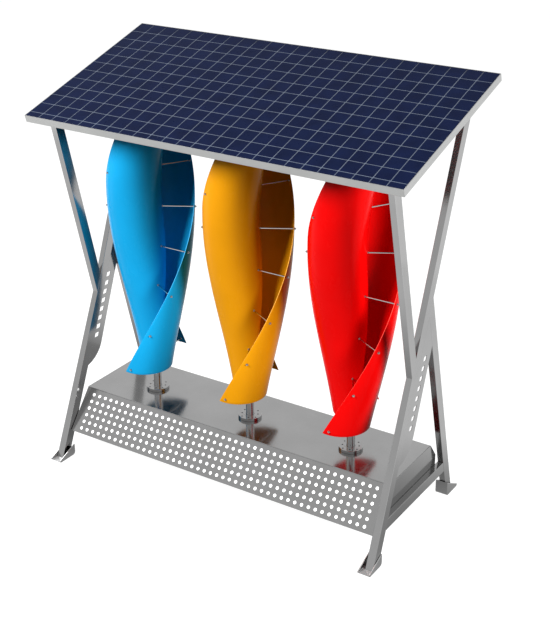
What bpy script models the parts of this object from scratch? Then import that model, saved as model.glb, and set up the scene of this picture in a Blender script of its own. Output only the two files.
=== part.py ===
"""Hybrid solar and wind unit: a tilted solar panel on two end frames over three helical rotors.

X runs along the unit (left to right), the perforated front faces -Y, +Z is up, metres.
The origin is on the floor, under the middle of the whole unit.
"""

import math

import bmesh
import bpy
from mathutils import Matrix

# ---------------------------------------------------------------- driving dimensions (metres)
GAP = 0.0003                 # clearance between pieces that touch

PANEL_WIDTH = 2.104          # solar panel, along X
PANEL_DEPTH = 1.000          # solar panel, up the slope
PANEL_THICK = 0.038          # solar panel frame height
PANEL_TILT = math.radians(17.0)
PANEL_FRONT_Y = -0.4145      # top front edge, measured from the rotor line
PANEL_FRONT_Z = 1.909
FRAME_WALL = 0.003           # wall of the panel frame profile
FRAME_FOOT = 0.028           # width of its bottom flange
LAMINATE_THICK = 0.006

RAIL_THICK = 0.030           # mounting rails under the panel
RAIL_WIDTH = 0.040

FRAME_IN = 0.934             # inner face of each end frame, from the middle
FRAME_OUT = 0.966            # outer face of each end frame
LEG_DEPTH = 0.058            # member depth measured level, along Y
DIAGONAL_FOOT_Y = -0.409     # front edge of the diagonal at the floor
DIAGONAL_SLOPE = 0.384       # its run in Y for each metre of height
BRANCH_KNEE_Z = 0.8604       # where the front branch leaves the diagonal
LEG_STEP_FORWARD = 0.0265    # below the knee the diagonal leans further: its step at the floor
LEG_STEP_INNER = 0.002       # and its inner and outer faces flare outwards by these, at the floor
LEG_STEP_OUTER = 0.0115
BRANCH_SLOPE = -0.250
BACK_LEG_TOP_Y = 0.113       # back edge of the back leg where it leaves the diagonal
BACK_LEG_TOP_Z = 1.209
BACK_LEG_SLOPE = -0.270
CROSSBAR_LOW = 0.150
CROSSBAR_HIGH = 0.207
WEB_THICK = 0.004            # sign plate in the fork of each end frame
WEB_WIDTH = 0.108
WEB_SLOTS = 8
WEB_SLOT_PITCH = 0.0455
WEB_SLOT_HALF_Y = 0.015
WEB_SLOT_HALF_Z = 0.012

FOOT_LENGTH = 0.122
FOOT_END_Y = 0.476           # outer end of every foot, from the rotor line
FOOT_HALF_WIDTH = 0.033
FOOT_SHEET = 0.005
FRONT_CHEEK_HIGH = 0.062
BACK_CHEEK_HIGH = 0.078
FOOT_CHEEK_LOW = 0.012
FRONT_HEEL_HIGH = 0.040      # heel wall of a front foot, low enough to clear the leg that leans over it
BACK_HEEL_HIGH = 0.078

BOX_HALF = 0.9335            # half length of the base box
SHEET = 0.003
BOX_LOW = 0.142
BOX_HIGH = 0.341
BOX_FRONT_LOW_Y = -0.3555
BOX_FRONT_HIGH_Y = -0.197
BOX_BACK_HIGH_Y = 0.237
BOX_BACK_LOW_Y = 0.297
BOX_CHAMFER_Z = 0.262

ROTOR_PITCH = 0.605          # distance between rotor shafts
ROTOR_LOW = 0.523
ROTOR_HEIGHT = 1.320
BLADE_RADIUS = 0.1405        # mid-line radius of the half-round blade section
BLADE_OFFSET = 0.0856        # centre of that half round, from the shaft
BLADE_SHEET = 0.003
BLADE_START = math.radians(-6.5)
BLADE_END = math.radians(199.0)
TWIST = math.radians(139.9)  # helix angle for each metre of height
TIP_ANGLE_LOW = math.radians(-94.9)
BLADE_LEVELS = 24
BLADE_STEPS = 10

SHAFT_RADIUS = 0.0215
SHAFT_LOW = 0.240
SHAFT_HIGH = 1.920
SHAFT_SIDES = 20
BORE_RADIUS = (SHAFT_RADIUS + 0.00008) / math.cos(math.pi / SHAFT_SIDES)   # clears the shaft all round
ROD_RADIUS = 0.004
ROD_HOLE = 0.0046
ROD_NUT = 0.0065
ROD_REACH = 0.2385
ROD_FIRST = 0.0205           # first tie rod above the lower blade edge
ROD_PITCH = 0.2130
ROD_COUNT = 7
ROD_LEAD = math.radians(2.8)
FLANGE_RADIUS = 0.062
FLANGE_THICK = 0.016

TAN_TILT = math.tan(PANEL_TILT)
COS_TILT = math.cos(PANEL_TILT)
SIN_TILT = math.sin(PANEL_TILT)

# The unit's lowest Y is the end of the front feet and its highest is the panel's lower back edge,
# so this shift puts the origin midway between them.
BACK_MOST_Y = PANEL_FRONT_Y + PANEL_DEPTH * COS_TILT + PANEL_THICK * SIN_TILT
ROTOR_Y = (FOOT_END_Y - BACK_MOST_Y) / 2.0

SIDES = (("left", -1.0), ("center", 0.0), ("right", 1.0))


# ---------------------------------------------------------------- scene and materials
def clear_scene():
    for old in list(bpy.context.scene.objects):
        bpy.data.objects.remove(old, do_unlink=True)


def material(name, colour, roughness, metallic):
    mat = bpy.data.materials.new(name)
    mat.use_nodes = True
    shader = mat.node_tree.nodes["Principled BSDF"]
    shader.inputs["Base Color"].default_value = (*colour, 1.0)
    shader.inputs["Roughness"].default_value = roughness
    shader.inputs["Metallic"].default_value = metallic
    return mat


def add_object(name, bm, mat, matrix=None, smooth=False):
    """Turn a bmesh into a named object with outward faces."""
    bmesh.ops.recalc_face_normals(bm, faces=bm.faces)
    mesh = bpy.data.meshes.new(name)
    bm.to_mesh(mesh)
    bm.free()
    if smooth:
        mesh.shade_smooth()
        mesh.set_sharp_from_angle(angle=math.radians(35.0))
    obj = bpy.data.objects.new(name, mesh)
    bpy.context.scene.collection.objects.link(obj)
    obj.data.materials.append(mat)
    if matrix is not None:
        obj.matrix_world = matrix
    return obj


def cut(obj, cutter):
    """Subtract a cutter with an exact Boolean, leaving the modifier on the object."""
    cutter.hide_render = True
    cutter.display_type = "WIRE"
    mod = obj.modifiers.new("cut_" + cutter.name, "BOOLEAN")
    mod.operation = "DIFFERENCE"
    mod.solver = "EXACT"
    mod.object = cutter


# ---------------------------------------------------------------- basic solids
def prism(name, outline, low, high, mat, axis="X", matrix=None):
    """Extrude a closed outline. Axis X takes (y, z) points from the rotor line, axis Z takes (x, y)."""
    bm = bmesh.new()
    if axis == "X":
        verts = [bm.verts.new((low, y + ROTOR_Y, z)) for y, z in outline]
        step = (high - low, 0.0, 0.0)
    else:
        verts = [bm.verts.new((x, y, low)) for x, y in outline]
        step = (0.0, 0.0, high - low)
    face = bm.faces.new(verts)
    grown = bmesh.ops.extrude_face_region(bm, geom=[face])
    moved = [item for item in grown["geom"] if isinstance(item, bmesh.types.BMVert)]
    bmesh.ops.translate(bm, vec=step, verts=moved)
    return add_object(name, bm, mat, matrix)


def block(name, size, centre, mat, matrix=None, bevel=0.0):
    bm = bmesh.new()
    bmesh.ops.create_cube(bm, size=1.0)
    bmesh.ops.scale(bm, vec=size, verts=bm.verts)
    if bevel > 0.0:
        bmesh.ops.bevel(bm, geom=list(bm.edges), offset=bevel, segments=1, affect="EDGES")
    bmesh.ops.translate(bm, vec=centre, verts=bm.verts)
    return add_object(name, bm, mat, matrix)


def turned(bm, rings, segments, centre=(0.0, 0.0)):
    """Closed surface of revolution about a vertical line; rings are (radius, z) along its outline.

    The outline is a closed loop when no radius is zero, otherwise it starts and ends on the axis.
    """
    loops = []
    for radius, z in rings:
        if radius == 0.0:
            loops.append([bm.verts.new((centre[0], centre[1], z))])
            continue
        loop = []
        for i in range(segments):
            a = 2.0 * math.pi * i / segments
            x = centre[0] + radius * math.cos(a)
            y = centre[1] + radius * math.sin(a)
            loop.append(bm.verts.new((x, y, z)))
        loops.append(loop)
    closed = rings[0][0] > 0.0
    pairs = list(zip(loops, loops[1:]))
    if closed:
        pairs.append((loops[-1], loops[0]))
    for lower, upper in pairs:
        for i in range(segments):
            j = (i + 1) % segments
            if len(lower) == 1:
                bm.faces.new((lower[0], upper[i], upper[j]))
            elif len(upper) == 1:
                bm.faces.new((lower[i], lower[j], upper[0]))
            else:
                bm.faces.new((lower[i], lower[j], upper[j], upper[i]))


def turned_object(name, rings, segments, x, y, mat):
    bm = bmesh.new()
    turned(bm, rings, segments)
    return add_object(name, bm, mat, Matrix.Translation((x, y, 0.0)), smooth=True)


# ---------------------------------------------------------------- solar panel and its rails
def panel_matrix():
    """Local X along the unit, local Y up the slope, local Z out of the panel's face."""
    place = Matrix.Translation((0.0, PANEL_FRONT_Y + ROTOR_Y, PANEL_FRONT_Z))
    return place @ Matrix.Rotation(PANEL_TILT, 4, "X")


def panel_edge(direction, depth):
    """Distance up the slope of a line that lies a depth inside the front or the back edge."""
    return depth if direction > 0.0 else PANEL_DEPTH - depth


def close_bar(bm, ends):
    """Join two matching end outlines into one closed bar."""
    first, last = ends
    n = len(first)
    for i in range(n):
        j = (i + 1) % n
        bm.faces.new((first[i], first[j], last[j], last[i]))
    bm.faces.new(first)
    bm.faces.new(list(reversed(last)))


def build_panel(mats):
    at = panel_matrix()
    profile = (
        (0.0, 0.0), (FRAME_WALL, 0.0), (FRAME_WALL, -0.0066), (0.014, -0.0066), (0.014, -0.009),
        (FRAME_WALL, -0.009), (FRAME_WALL, -PANEL_THICK + FRAME_WALL),
        (FRAME_FOOT, -PANEL_THICK + FRAME_WALL), (FRAME_FOOT, -PANEL_THICK), (0.0, -PANEL_THICK),
    )
    half = PANEL_WIDTH / 2.0
    mitre = 1.5 * GAP
    for name, direction in (("front", 1.0), ("back", -1.0)):
        bm = bmesh.new()
        ends = []
        for side in (-1.0, 1.0):
            ends.append([bm.verts.new((side * (half - mitre - d), panel_edge(direction, d), h))
                         for d, h in profile])
        close_bar(bm, ends)
        add_object("pv_frame_" + name, bm, mats["aluminium"], at)
    for name, side in (("left", -1.0), ("right", 1.0)):
        bm = bmesh.new()
        ends = []
        for direction in (1.0, -1.0):
            ends.append([bm.verts.new((side * (half - d), panel_edge(direction, d), h)) for d, h in profile])
        close_bar(bm, ends)
        add_object("pv_frame_" + name, bm, mats["aluminium"], at)

    inset = FRAME_WALL + GAP
    size = (PANEL_WIDTH - 2 * inset, PANEL_DEPTH - 2 * inset, LAMINATE_THICK)
    block("pv_laminate", size, (0.0, PANEL_DEPTH / 2, -LAMINATE_THICK / 2 - 0.0003), mats["cells"], at)

    block("junction_box", (0.14, 0.11, 0.022), (0.30, 0.80, -0.0093 - 0.011 - GAP), mats["black"], at, 0.004)

    # The rails lie against the underside of the panel frame and keep its slope.
    rail_top = -PANEL_THICK - GAP
    rail_mid = rail_top - RAIL_THICK / 2
    front_s = 0.080
    back_s = 0.884
    for name, s in (("rail_front", front_s), ("rail_back", back_s)):
        block(name, (2 * FRAME_OUT, RAIL_WIDTH, RAIL_THICK), (0.0, s, rail_mid), mats["aluminium"], at)
    start = front_s + RAIL_WIDTH / 2 + GAP
    end = back_s - RAIL_WIDTH / 2 - GAP
    for side, k in SIDES:
        block("cross_rail_" + side, (RAIL_WIDTH, end - start, RAIL_THICK),
              (k * ROTOR_PITCH, (start + end) / 2, rail_mid), mats["aluminium"], at)


def under_rails(y):
    """Height of the underside of the rails at a distance y from the rotor line."""
    drop = (PANEL_THICK + RAIL_THICK + 2 * GAP) / COS_TILT
    return PANEL_FRONT_Z + (y - PANEL_FRONT_Y) * TAN_TILT - drop


def line_meets_rails(y0, slope):
    """Point where the line y = y0 + slope * z reaches the underside of the rails."""
    z = (PANEL_FRONT_Z + (y0 - PANEL_FRONT_Y) * TAN_TILT
         - (PANEL_THICK + RAIL_THICK + 2 * GAP) / COS_TILT) / (1.0 - slope * TAN_TILT)
    return (y0 + slope * z, z)


# ---------------------------------------------------------------- end frames
def diagonal_y(z, depth=0.0):
    return DIAGONAL_FOOT_Y + DIAGONAL_SLOPE * z + depth


def leg_step(z):
    """Share of the step at the floor that is left at a height: 1 at the floor, 0 from the knee up."""
    return max(0.0, 1.0 - z / BRANCH_KNEE_Z)


def behind_leg_y(z, clearance):
    """The diagonal's back edge with its step, plus a clearance behind it."""
    return diagonal_y(z, LEG_DEPTH) - LEG_STEP_FORWARD * leg_step(z) + clearance


def branch_y(z, depth=0.0):
    return diagonal_y(BRANCH_KNEE_Z) + BRANCH_SLOPE * (z - BRANCH_KNEE_Z) + depth


def back_leg_y(z, depth=0.0):
    """Depth runs from the back edge towards the front."""
    return BACK_LEG_TOP_Y + BACK_LEG_SLOPE * (z - BACK_LEG_TOP_Z) - depth


def crossing(line_a, line_b):
    """Height at which two straight lines y(z) meet."""
    gap0 = line_a(0.0) - line_b(0.0)
    gap1 = line_a(1.0) - line_b(1.0)
    return gap0 / (gap0 - gap1)


def build_diagonal(side, low, high, sole, mat):
    """Straight square tube above the knee; below it leans further forward and flares outwards."""
    top_front = line_meets_rails(diagonal_y(0.0), DIAGONAL_SLOPE)
    top_back = line_meets_rails(diagonal_y(0.0, LEG_DEPTH), DIAGONAL_SLOPE)
    knee = BRANCH_KNEE_Z
    outward = 1.0 if side == "right" else -1.0
    bm = bmesh.new()
    loops = []
    for x in (low, high):
        outer = (x * outward) > (FRAME_IN + FRAME_OUT) / 2.0
        flare = outward * (LEG_STEP_OUTER if outer else LEG_STEP_INNER) * leg_step(sole)
        front = behind_leg_y(sole, -LEG_DEPTH)
        points = (
            (x + flare, front, sole), (x + flare, behind_leg_y(sole, 0.0), sole),
            (x, diagonal_y(knee, LEG_DEPTH), knee), (x, top_back[0], top_back[1]),
            (x, top_front[0], top_front[1]), (x, diagonal_y(knee), knee),
        )
        loops.append([bm.verts.new((px, py + ROTOR_Y, pz)) for px, py, pz in points])
    first, last = loops
    for i in range(6):
        j = (i + 1) % 6
        bm.faces.new((first[i], first[j], last[j], last[i]))
    for loop in loops:
        bm.faces.new((loop[0], loop[1], loop[2], loop[5]))
        bm.faces.new((loop[5], loop[2], loop[3], loop[4]))
    add_object("diagonal_leg_" + side, bm, mat)


def build_end_frame(side, low, high, mats):
    steel = mats["steel"]
    sole = FOOT_SHEET + GAP

    build_diagonal(side, low, high, sole, steel)

    near = -GAP * 1.5
    z_front = crossing(lambda z: branch_y(z), lambda z: diagonal_y(z, near))
    z_back = crossing(lambda z: branch_y(z, LEG_DEPTH), lambda z: diagonal_y(z, near))
    base = branch_y(0.0)
    c = line_meets_rails(base, BRANCH_SLOPE)
    d = line_meets_rails(base + LEG_DEPTH, BRANCH_SLOPE)
    outline = [(branch_y(z_front), z_front), (branch_y(z_back, LEG_DEPTH), z_back), d, c]
    prism("front_branch_" + side, outline, low, high, steel)

    near = LEG_DEPTH + GAP * 1.5
    z_high = crossing(lambda z: back_leg_y(z), lambda z: diagonal_y(z, near))
    z_fork = crossing(lambda z: back_leg_y(z, LEG_DEPTH), lambda z: diagonal_y(z, near))
    outline = [
        (back_leg_y(sole, LEG_DEPTH), sole), (back_leg_y(sole), sole),
        (back_leg_y(z_high), z_high), (back_leg_y(z_fork, LEG_DEPTH), z_fork),
    ]
    prism("back_leg_" + side, outline, low, high, steel)

    clear = GAP * 1.5
    outline = [
        (behind_leg_y(CROSSBAR_LOW, clear), CROSSBAR_LOW),
        (back_leg_y(CROSSBAR_LOW, LEG_DEPTH + clear), CROSSBAR_LOW),
        (back_leg_y(CROSSBAR_HIGH, LEG_DEPTH + clear), CROSSBAR_HIGH),
        (behind_leg_y(CROSSBAR_HIGH, clear), CROSSBAR_HIGH),
    ]
    prism("crossbar_" + side, outline, low, high, steel)

    # Sign plate: follows the diagonal's back edge, rounded at its lower end, closed by the back leg.
    z_low = 0.440
    z_round = 0.535
    far = near + WEB_WIDTH
    outline = [(behind_leg_y(z_low, clear), z_low)]
    for i in range(1, 7):
        t = i / 6.0 * math.pi / 2.0
        z = z_low + (z_round - z_low) * (1.0 - math.cos(t))
        outline.append((diagonal_y(z, near + WEB_WIDTH * math.sin(t)), z))
    lean = LEG_DEPTH + GAP * 1.5
    z_meet = crossing(lambda z: back_leg_y(z, lean), lambda z: diagonal_y(z, far))
    z_tip = crossing(lambda z: back_leg_y(z, lean), lambda z: diagonal_y(z, near))
    outline.append((diagonal_y(z_meet, far), z_meet))
    outline.append((diagonal_y(z_tip, near), z_tip))
    outline.append((diagonal_y(BRANCH_KNEE_Z, near), BRANCH_KNEE_Z))
    plate_low = low if side == "left" else high - WEB_THICK
    plate = prism("web_plate_" + side, outline, plate_low, plate_low + WEB_THICK, steel)
    middle = near + WEB_WIDTH * 0.48
    half_y = WEB_SLOT_HALF_Y
    half_z = WEB_SLOT_HALF_Z
    for i in range(WEB_SLOTS):
        z = 0.595 + WEB_SLOT_PITCH * i
        y = diagonal_y(z, middle)
        lean_z = DIAGONAL_SLOPE * half_z
        slot = [(y - half_y - lean_z, z - half_z), (y + half_y - lean_z, z - half_z),
                (y + half_y + lean_z, z + half_z), (y - half_y + lean_z, z + half_z)]
        cutter = prism("slot_%s_%d" % (side, i), slot, plate_low - 0.01, plate_low + 0.01, steel)
        cut(plate, cutter)


def build_foot(name, x_mid, direction, cheek_high, heel_high, mats):
    """Folded shoe: sole, two cheeks that rise from the open toe, and a heel wall towards the middle."""
    tip = FOOT_END_Y
    heel = FOOT_END_Y - FOOT_LENGTH
    w = FOOT_HALF_WIDTH
    t = FOOT_SHEET
    outside = [(heel, cheek_high), (heel, 0.014), (heel + 0.0045, 0.004), (heel + 0.014, 0.0),
               (tip - 0.008, 0.0), (tip - 0.0025, 0.0025), (tip, 0.008), (tip, FOOT_CHEEK_LOW)]
    inside = [(heel - 0.02, 0.10), (heel - 0.02, heel_high), (heel + t, heel_high), (heel + t, 0.016),
              (heel + 0.0088, 0.0085), (heel + 0.0165, t), (tip + 0.02, t), (tip + 0.02, 0.10)]
    bodies = []
    for label, outline, half in ((name, outside, w), ("inside_" + name, inside, w - t)):
        points = [(direction * y, z) for y, z in outline]
        bodies.append(prism(label, points, x_mid - half, x_mid + half, mats["steel"]))
    cut(bodies[0], bodies[1])


# ---------------------------------------------------------------- base box
def build_base(mats):
    steel = mats["brushed"]
    cap_in = BOX_HALF - SHEET
    span = cap_in - GAP
    s = SHEET
    front_run = BOX_FRONT_HIGH_Y - BOX_FRONT_LOW_Y
    front_rise = BOX_HIGH - BOX_LOW
    front_len = math.hypot(front_run, front_rise)

    # top cover: level top with a folded strip down the chamfered back edge
    run = BOX_BACK_LOW_Y - BOX_BACK_HIGH_Y
    fall = BOX_HIGH - BOX_CHAMFER_Z
    length = math.hypot(run, fall)
    ny = fall / length * s
    nz = run / length * s
    lip = BOX_FRONT_HIGH_Y
    outline = [
        (lip, BOX_HIGH), (lip - front_run / front_rise * s, BOX_HIGH - s),
        (BOX_BACK_HIGH_Y - 0.001, BOX_HIGH - s),
        (BOX_BACK_LOW_Y - ny, BOX_CHAMFER_Z - nz + 0.002), (BOX_BACK_LOW_Y, BOX_CHAMFER_Z),
        (BOX_BACK_HIGH_Y, BOX_HIGH),
    ]
    cover = prism("base_top_cover", outline, -span, span, steel)
    for side, k in SIDES:
        hole = turned_object("hole_" + side, [(0.0, BOX_HIGH - 0.02), (0.026, BOX_HIGH - 0.02),
                                              (0.026, BOX_HIGH + 0.02), (0.0, BOX_HIGH + 0.02)],
                             20, k * ROTOR_PITCH, ROTOR_Y, steel)
        cut(cover, hole)

    drop = s + GAP
    top_y = BOX_FRONT_HIGH_Y - front_run / front_rise * drop
    through = front_len / front_rise * s
    outline = [
        (BOX_FRONT_LOW_Y, BOX_LOW), (BOX_FRONT_LOW_Y + through, BOX_LOW),
        (top_y + through, BOX_HIGH - drop), (top_y, BOX_HIGH - drop),
    ]
    prism("base_front_panel", outline, -span, span, steel)

    # white light sheet just behind the perforated front
    off = SHEET + 0.0010
    oy = front_rise / front_len
    oz = front_run / front_len
    low_z = BOX_LOW + 0.012
    high_z = BOX_HIGH - 0.016
    low_y = BOX_FRONT_HIGH_Y - front_run / front_rise * (BOX_HIGH - low_z)
    high_y = BOX_FRONT_HIGH_Y - front_run / front_rise * (BOX_HIGH - high_z)
    outline = [
        (low_y + off * oy, low_z - off * oz), (low_y + (off + 0.002) * oy, low_z - (off + 0.002) * oz),
        (high_y + (off + 0.002) * oy, high_z - (off + 0.002) * oz), (high_y + off * oy, high_z - off * oz),
    ]
    prism("base_light_sheet", outline, -span + 0.006, span - 0.006, mats["white"])

    outline = [
        (BOX_BACK_LOW_Y - s, BOX_LOW), (BOX_BACK_LOW_Y, BOX_LOW),
        (BOX_BACK_LOW_Y, BOX_CHAMFER_Z - 0.0015), (BOX_BACK_LOW_Y - s, BOX_CHAMFER_Z - 0.0055),
    ]
    prism("base_back_panel", outline, -span, span, steel)

    y0 = BOX_FRONT_LOW_Y + 0.008
    y1 = BOX_BACK_LOW_Y - s - GAP
    prism("base_bottom_tray", [(y0, BOX_LOW), (y1, BOX_LOW), (y1, BOX_LOW + s), (y0, BOX_LOW + s)],
          -span, span, steel)

    outline = [
        (BOX_FRONT_LOW_Y, BOX_LOW), (BOX_BACK_LOW_Y, BOX_LOW), (BOX_BACK_LOW_Y, BOX_CHAMFER_Z),
        (BOX_BACK_HIGH_Y, BOX_HIGH), (BOX_FRONT_HIGH_Y, BOX_HIGH),
    ]
    prism("base_end_cap_left", outline, -BOX_HALF, -cap_in, steel)
    prism("base_end_cap_right", outline, cap_in, BOX_HALF, steel)

    # electrical equipment on the bottom tray
    floor = BOX_LOW + s + GAP
    for side, k in (("left", -1.0), ("right", 1.0)):
        block("battery_" + side, (0.300, 0.200, 0.130), (k * ROTOR_PITCH / 2, ROTOR_Y + 0.0, floor + 0.065),
              mats["black"], None, 0.006)
    block("charge_controller", (0.130, 0.180, 0.070), (0.815, ROTOR_Y, floor + 0.035), mats["grey"],
          None, 0.004)
    gland = turned_object("cable_gland", [(0.0, 0.0), (0.014, 0.0), (0.014, 0.010), (0.010, 0.012),
                                          (0.010, 0.026), (0.0, 0.026)], 12, 0.0, 0.0, mats["black"])
    gland.matrix_world = (Matrix.Translation((0.700, BOX_BACK_LOW_Y + GAP + ROTOR_Y, 0.190))
                          @ Matrix.Rotation(math.radians(-90.0), 4, "X"))


# ---------------------------------------------------------------- rotors
def tip_angle(z):
    return TIP_ANGLE_LOW + TWIST * (z - ROTOR_LOW)


def blade_point(z, angle, radius, turn):
    """Point on a blade surface at a height, in the rotor's own axes."""
    tip = tip_angle(z) + turn
    x = BLADE_OFFSET * math.cos(tip) + radius * math.cos(tip + angle)
    y = BLADE_OFFSET * math.sin(tip) + radius * math.sin(tip + angle)
    return (x, y, z)


def build_blade(name, x, turn, mat):
    """Half-round sheet swept up a helix, with a rod hole near each long edge at every tie rod."""
    bm = bmesh.new()
    grids = []
    for radius in (BLADE_RADIUS + BLADE_SHEET / 2, BLADE_RADIUS - BLADE_SHEET / 2):
        grid = []
        for i in range(BLADE_LEVELS + 1):
            z = ROTOR_LOW + ROTOR_HEIGHT * i / BLADE_LEVELS
            row = []
            for j in range(BLADE_STEPS + 1):
                a = BLADE_START + (BLADE_END - BLADE_START) * j / BLADE_STEPS
                row.append(bm.verts.new(blade_point(z, a, radius, turn)))
            grid.append(row)
        grids.append(grid)
    outer, inner = grids
    for i in range(BLADE_LEVELS):
        for j in range(BLADE_STEPS):
            bm.faces.new((outer[i][j], outer[i][j + 1], outer[i + 1][j + 1], outer[i + 1][j]))
            bm.faces.new((inner[i][j], inner[i + 1][j], inner[i + 1][j + 1], inner[i][j + 1]))
        for j in (0, BLADE_STEPS):
            bm.faces.new((outer[i][j], outer[i + 1][j], inner[i + 1][j], inner[i][j]))
    for i in (0, BLADE_LEVELS):
        for j in range(BLADE_STEPS):
            bm.faces.new((outer[i][j], inner[i][j], inner[i][j + 1], outer[i][j + 1]))
    blade = add_object(name, bm, mat, Matrix.Translation((x, ROTOR_Y, 0.0)), smooth=True)

    holes = bmesh.new()
    for k in range(ROD_COUNT):
        z = ROTOR_LOW + ROD_FIRST + ROD_PITCH * k
        heading = tip_angle(z) + turn + ROD_LEAD
        for near, far in ((0.195, 0.245), (-0.075, -0.035)):
            rod_cylinder(holes, z, heading, [(ROD_HOLE, near), (ROD_HOLE, far)], 6)
    cutter = add_object("rod_holes_" + name, holes, mat, Matrix.Translation((x, ROTOR_Y, 0.0)))
    cut(blade, cutter)
    return blade


def rod_cylinder(bm, z, heading, stations, sides):
    """Closed horizontal round bar through the rotor axis; stations are (radius, distance) pairs."""
    rings = []
    for radius, reach in stations:
        ring = []
        for i in range(sides):
            a = 2.0 * math.pi * (i + 0.5) / sides
            across = radius * math.cos(a)
            up = radius * math.sin(a)
            x = reach * math.cos(heading) - across * math.sin(heading)
            y = reach * math.sin(heading) + across * math.cos(heading)
            ring.append(bm.verts.new((x, y, z + up)))
        rings.append(ring)
    faces = [bm.faces.new(rings[0]), bm.faces.new(list(reversed(rings[-1])))]
    for low, high in zip(rings, rings[1:]):
        for i in range(sides):
            j = (i + 1) % sides
            faces.append(bm.faces.new((low[i], low[j], high[j], high[i])))
    return faces


def build_spindle(name, x, mat):
    """Vertical shaft with its tie rods screwed through it, one above the other up the helix."""
    bm = bmesh.new()
    turned(bm, [(0.0, SHAFT_LOW), (SHAFT_RADIUS, SHAFT_LOW), (SHAFT_RADIUS, SHAFT_HIGH), (0.0, SHAFT_HIGH)],
           SHAFT_SIDES)
    shaft = add_object(name, bm, mat, Matrix.Translation((x, ROTOR_Y, 0.0)), smooth=True)
    rods = bmesh.new()
    nut_in = ROD_REACH - 0.0075
    for k in range(ROD_COUNT):
        z = ROTOR_LOW + ROD_FIRST + ROD_PITCH * k
        heading = tip_angle(z) + ROD_LEAD
        stations = [(ROD_NUT, -ROD_REACH), (ROD_NUT, -nut_in), (ROD_RADIUS, -nut_in),
                    (ROD_RADIUS, nut_in), (ROD_NUT, nut_in), (ROD_NUT, ROD_REACH)]
        rod_cylinder(rods, z, heading, stations, 6)
    tool = add_object("rods_" + name, rods, mat, Matrix.Translation((x, ROTOR_Y, 0.0)))
    tool.hide_render = True
    tool.display_type = "WIRE"
    mod = shaft.modifiers.new("rods", "BOOLEAN")
    mod.operation = "UNION"
    mod.solver = "EXACT"
    mod.object = tool
    return shaft


def build_rotors(mats):
    for side, k in SIDES:
        x = k * ROTOR_PITCH
        build_spindle("rotor_%s_spindle" % side, x, mats["polished"])
        build_blade("rotor_%s_blade_a" % side, x, 0.0, mats["blade_" + side])
        build_blade("rotor_%s_blade_b" % side, x, math.pi, mats["blade_" + side])


def build_bearings(mats):
    block_low = 1.868
    for side, k in SIDES:
        x = k * ROTOR_PITCH
        z0 = BOX_HIGH + GAP
        turned_object("bearing_flange_" + side,
                      [(BORE_RADIUS, z0), (FLANGE_RADIUS, z0), (FLANGE_RADIUS, z0 + FLANGE_THICK),
                       (BORE_RADIUS, z0 + FLANGE_THICK)], 30, x, ROTOR_Y, mats["polished"])
        top = BOX_HIGH - SHEET - GAP
        low = 0.2056
        turned_object("generator_" + side,
                      [(0.0, low), (0.088, low), (0.088, top - 0.02), (0.072, top), (BORE_RADIUS, top),
                       (BORE_RADIUS, SHAFT_LOW - 0.004), (0.0, SHAFT_LOW - 0.004)],
                      24, x, ROTOR_Y, mats["grey"])
        half = 0.036
        outline = [(-half, block_low), (half, block_low), (half, under_rails(half)),
                   (-half, under_rails(-half))]
        housing = prism("top_bearing_" + side, outline, x - half, x + half, mats["grey"])
        bore = turned_object("bore_" + side, [(0.0, block_low - 0.02), (BORE_RADIUS, block_low - 0.02),
                                              (BORE_RADIUS, SHAFT_HIGH + 0.004), (0.0, SHAFT_HIGH + 0.004)],
                             20, x, ROTOR_Y, mats["grey"])
        cut(housing, bore)


# ---------------------------------------------------------------- whole unit
def main():
    clear_scene()
    mats = {
        "aluminium": material("aluminium", (0.60, 0.61, 0.60), 0.35, 0.9),
        "cells": material("cells", (0.012, 0.018, 0.070), 0.15, 0.0),
        "steel": material("steel", (0.45, 0.45, 0.45), 0.22, 1.0),
        "brushed": material("brushed", (0.42, 0.42, 0.42), 0.30, 1.0),
        "polished": material("polished", (0.55, 0.55, 0.55), 0.12, 1.0),
        "grey": material("grey", (0.20, 0.21, 0.22), 0.45, 0.3),
        "black": material("black", (0.02, 0.02, 0.02), 0.50, 0.0),
        "white": material("white", (0.85, 0.85, 0.83), 0.60, 0.0),
        "blade_left": material("blade_left", (0.010, 0.400, 0.820), 0.20, 0.0),
        "blade_center": material("blade_center", (0.870, 0.320, 0.006), 0.20, 0.0),
        "blade_right": material("blade_right", (0.870, 0.003, 0.003), 0.20, 0.0),
    }
    build_panel(mats)
    # the end frames mirror each other, so each sign plate lies on the outer face
    build_end_frame("left", -FRAME_OUT, -FRAME_IN, mats)
    build_end_frame("right", FRAME_IN, FRAME_OUT, mats)
    frame_mid = (FRAME_IN + FRAME_OUT) / 2
    for side, k in (("left", -1.0), ("right", 1.0)):
        build_foot("foot_front_" + side, k * frame_mid, -1.0, FRONT_CHEEK_HIGH, FRONT_HEEL_HIGH, mats)
        build_foot("foot_back_" + side, k * frame_mid, 1.0, BACK_CHEEK_HIGH, BACK_HEEL_HIGH, mats)
    build_base(mats)
    build_rotors(mats)
    build_bearings(mats)


main()
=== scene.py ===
"""Looks of the hybrid solar and wind unit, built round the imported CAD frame.

Metres, X along the unit, +Z up, the perforated front faces -Y.
"""

import math

import bmesh
import bpy
from mathutils import Matrix, Vector


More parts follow.
